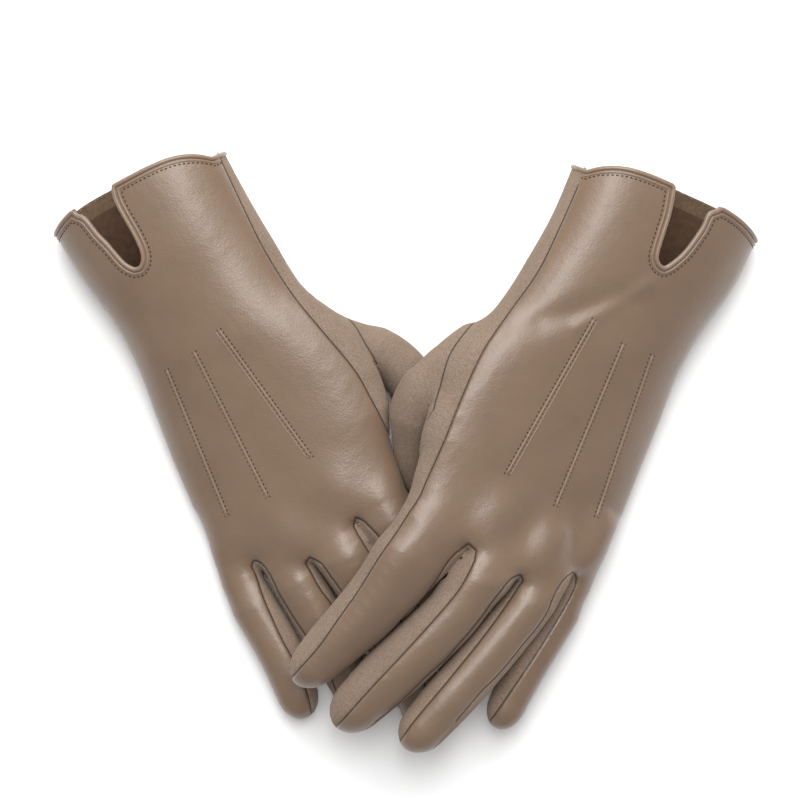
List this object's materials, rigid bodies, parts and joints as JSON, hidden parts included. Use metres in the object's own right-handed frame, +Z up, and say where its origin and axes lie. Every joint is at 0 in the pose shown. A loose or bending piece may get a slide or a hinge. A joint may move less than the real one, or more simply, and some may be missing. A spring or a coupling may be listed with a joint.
{
  "type": "touchscreen gloves",
  "caption": "Pair of hand-shaped gloves laid crossed, leather backs and suede palms with touch pads; digits bend at the knuckles and the upper glove lifts off.",
  "frame": {"origin": "centre of the pair's outline on the table surface", "axes": "+X across the pair from the right glove's cuff to the left glove's cuff, +Y from the fingertips to the cuffs, +Z up from the table"},
  "size_m": [0.2634, 0.2262, 0.053],
  "materials": {
    "leather": "smooth fine-grained, semi-matt with a soft sheen",
    "leather_binding": "smooth, rolled edge",
    "suede": "short speckled nap",
    "hem": "short nap, turned in",
    "conductive_suede": "short nap",
    "lining": "matt, brushed",
    "thread": "matt"
  },
  "bodies": {
    "left_hand": {"left_back_panel": "leather", "left_cuff_binding": "leather_binding", "left_cuff_stitching": "thread", "left_hand_lining": "lining", "left_palm_hem": "hem", "left_palm_panel": "suede", "left_pintuck_stitching": "thread", "left_pintucks": "leather"},
    "left_index": {"left_index_back": "leather", "left_index_fourchettes": "suede", "left_index_front": "suede", "left_index_lining": "lining", "left_index_touch_pad": "conductive_suede"},
    "left_little": {"left_little_back": "leather", "left_little_fourchettes": "suede", "left_little_front": "suede", "left_little_lining": "lining"},
    "left_middle": {"left_middle_back": "leather", "left_middle_fourchettes": "suede", "left_middle_front": "suede", "left_middle_lining": "lining"},
    "left_ring": {"left_ring_back": "leather", "left_ring_fourchettes": "suede", "left_ring_front": "suede", "left_ring_lining": "lining"},
    "left_thumb": {"left_thumb_lining": "lining", "left_thumb_shell": "suede", "left_thumb_touch_pad": "conductive_suede"},
    "right_hand": {"right_back_panel": "leather", "right_cuff_binding": "leather_binding", "right_cuff_stitching": "thread", "right_hand_lining": "lining", "right_palm_hem": "hem", "right_palm_panel": "suede", "right_pintuck_stitching": "thread", "right_pintucks": "leather"},
    "right_index": {"right_index_back": "leather", "right_index_fourchettes": "suede", "right_index_front": "suede", "right_index_lining": "lining", "right_index_touch_pad": "conductive_suede"},
    "right_little": {"right_little_back": "leather", "right_little_fourchettes": "suede", "right_little_front": "suede", "right_little_lining": "lining"},
    "right_middle": {"right_middle_back": "leather", "right_middle_fourchettes": "suede", "right_middle_front": "suede", "right_middle_lining": "lining"},
    "right_ring": {"right_ring_back": "leather", "right_ring_fourchettes": "suede", "right_ring_front": "suede", "right_ring_lining": "lining"},
    "right_thumb": {"right_thumb_lining": "lining", "right_thumb_shell": "suede", "right_thumb_touch_pad": "conductive_suede"}
  },
  "joints": [
    {"name": "left_glove_lift", "type": "slide", "parent": "right_hand", "child": "left_hand", "axis": [0, 0, 1], "range_m": [0, 0.12]},
    {"name": "right_index_bend", "type": "hinge", "parent": "right_hand", "child": "right_index", "pos_m": [-0.0065, -0.01601, 0.01525], "axis": [0.8513, 0.4548, 0.2615], "range_deg": [0, 45]},
    {"name": "right_middle_bend", "type": "hinge", "parent": "right_hand", "child": "right_middle", "pos_m": [-0.0245, -0.03126, 0.01174], "axis": [0.8709, 0.4201, 0.255], "range_deg": [0, 45]},
    {"name": "right_ring_bend", "type": "hinge", "parent": "right_hand", "child": "right_ring", "pos_m": [-0.04497, -0.03994, 0.00669], "axis": [0.8444, 0.4669, 0.2629], "range_deg": [0, 45]},
    {"name": "right_little_bend", "type": "hinge", "parent": "right_hand", "child": "right_little", "pos_m": [-0.063, -0.04445, 0.00128], "axis": [0.8695, 0.4206, 0.2588], "range_deg": [0, 45]},
    {"name": "right_thumb_bend", "type": "hinge", "parent": "right_hand", "child": "right_thumb", "pos_m": [-0.03272, 0.0472, 0.0195], "axis": [0.4028, 0.9153, 0], "range_deg": [0, 15]},
    {"name": "left_index_lift", "type": "hinge", "parent": "left_hand", "child": "left_index", "pos_m": [0.01525, -0.03044, 0.05141], "axis": [-0.6566, 0.5839, 0.4774], "range_deg": [0, 25]},
    {"name": "left_middle_lift", "type": "hinge", "parent": "left_hand", "child": "left_middle", "pos_m": [0.03728, -0.04419, 0.04578], "axis": [-0.6446, 0.6009, 0.4727], "range_deg": [0, 25]},
    {"name": "left_ring_lift", "type": "hinge", "parent": "left_hand", "child": "left_ring", "pos_m": [0.05851, -0.04758, 0.03639], "axis": [-0.7296, 0.5395, 0.4202], "range_deg": [0, 25]},
    {"name": "left_little_lift", "type": "hinge", "parent": "left_hand", "child": "left_little", "pos_m": [0.07413, -0.04979, 0.02348], "axis": [-0.8007, 0.4112, 0.4357], "range_deg": [0, 25]},
    {"name": "left_thumb_swing", "type": "hinge", "parent": "left_hand", "child": "left_thumb", "pos_m": [0.02228, 0.0397, 0.04], "axis": [0.5576, -0.3694, 0.7434], "range_deg": [0, 8]}
  ]
}
